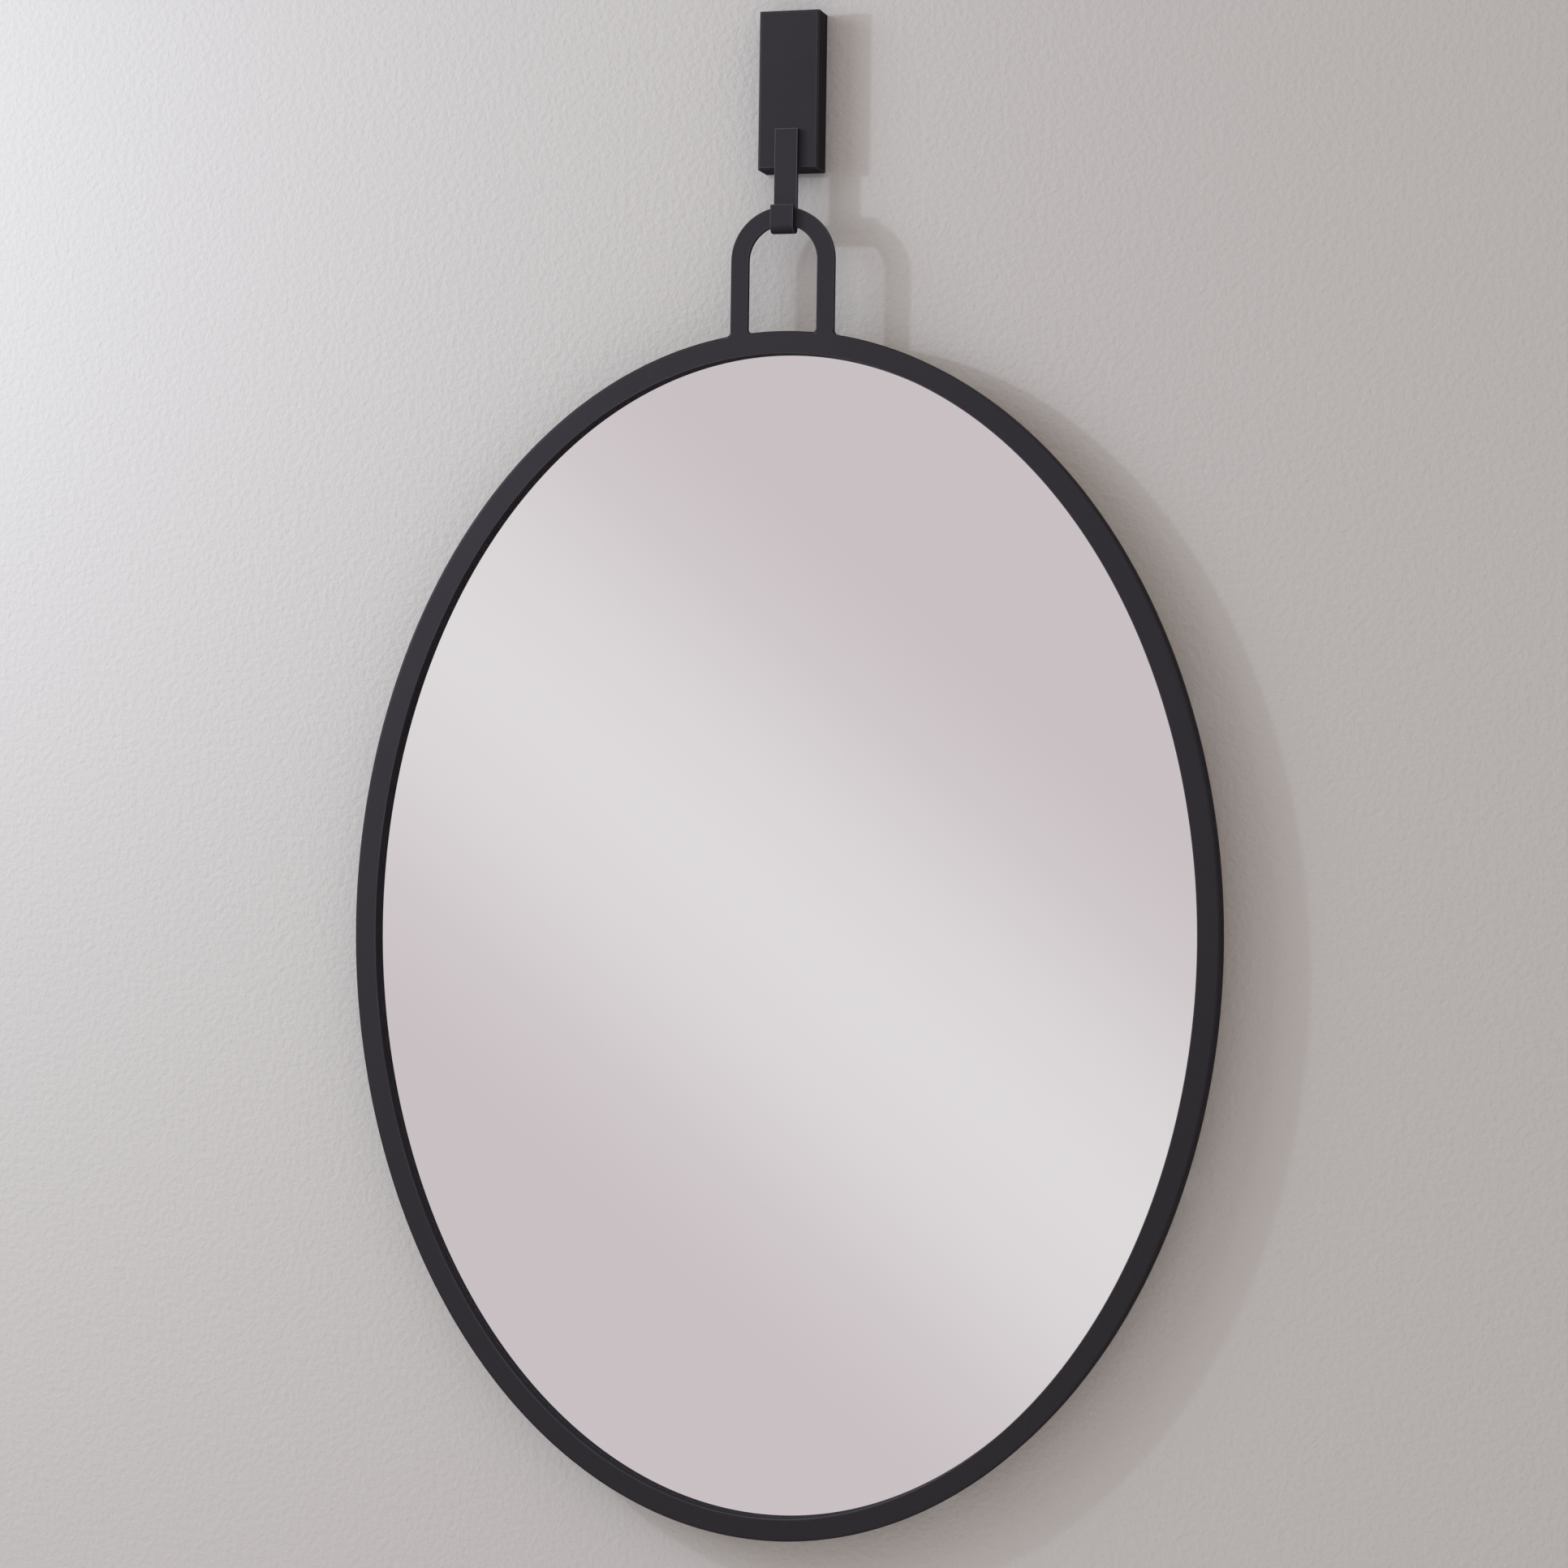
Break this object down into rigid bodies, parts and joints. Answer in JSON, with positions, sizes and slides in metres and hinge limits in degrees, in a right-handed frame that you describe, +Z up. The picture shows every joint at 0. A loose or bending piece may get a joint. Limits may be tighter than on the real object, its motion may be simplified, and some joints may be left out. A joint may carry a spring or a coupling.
{
  "type": "oval wall mirror",
  "caption": "Oval mirror in a flat dark metal frame with a stirrup-shaped top loop, hung in a strap hook on a slim rectangular wall bracket.",
  "frame": {"origin": "centre of the bracket's wall plate, on the wall", "axes": "+X to the right seen from the room, +Y into the wall, +Z up"},
  "size_m": [0.61, 0.035, 1.042],
  "materials": {
    "black_powder_coat": "satin black powder coat with a fine texture",
    "silvered_glass": "polished, silvered on the back",
    "zinc_steel": "bright zinc plating",
    "black_screw_steel": "black oxide",
    "brown_board": "smooth pressed fibreboard",
    "black_rubber": "matte",
    "foam_tape": "matte closed-cell foam"
  },
  "bodies": {
    "wall_bracket": {"wall_plate": "zinc_steel", "bracket_box": "black_powder_coat", "box_screws": "black_screw_steel", "hook_strap": "black_powder_coat", "strap_screws": "zinc_steel", "strap_washers": "zinc_steel"},
    "mirror": {"frame_rim": "black_powder_coat", "hanging_loop": "black_powder_coat", "mirror_glass": "silvered_glass", "glass_tape": "foam_tape", "setting_blocks": "black_rubber", "backing_board": "brown_board", "retaining_clips": "zinc_steel", "clip_screws": "zinc_steel", "wall_bumpers": "black_rubber", "bumper_screws": "zinc_steel"}
  },
  "joints": [
    {"name": "mirror_sway", "type": "hinge", "parent": "wall_bracket", "child": "mirror", "pos_m": [0, -0.0285, -0.11743], "axis": [0, 1, 0], "range_deg": [-30, 30]}
  ]
}
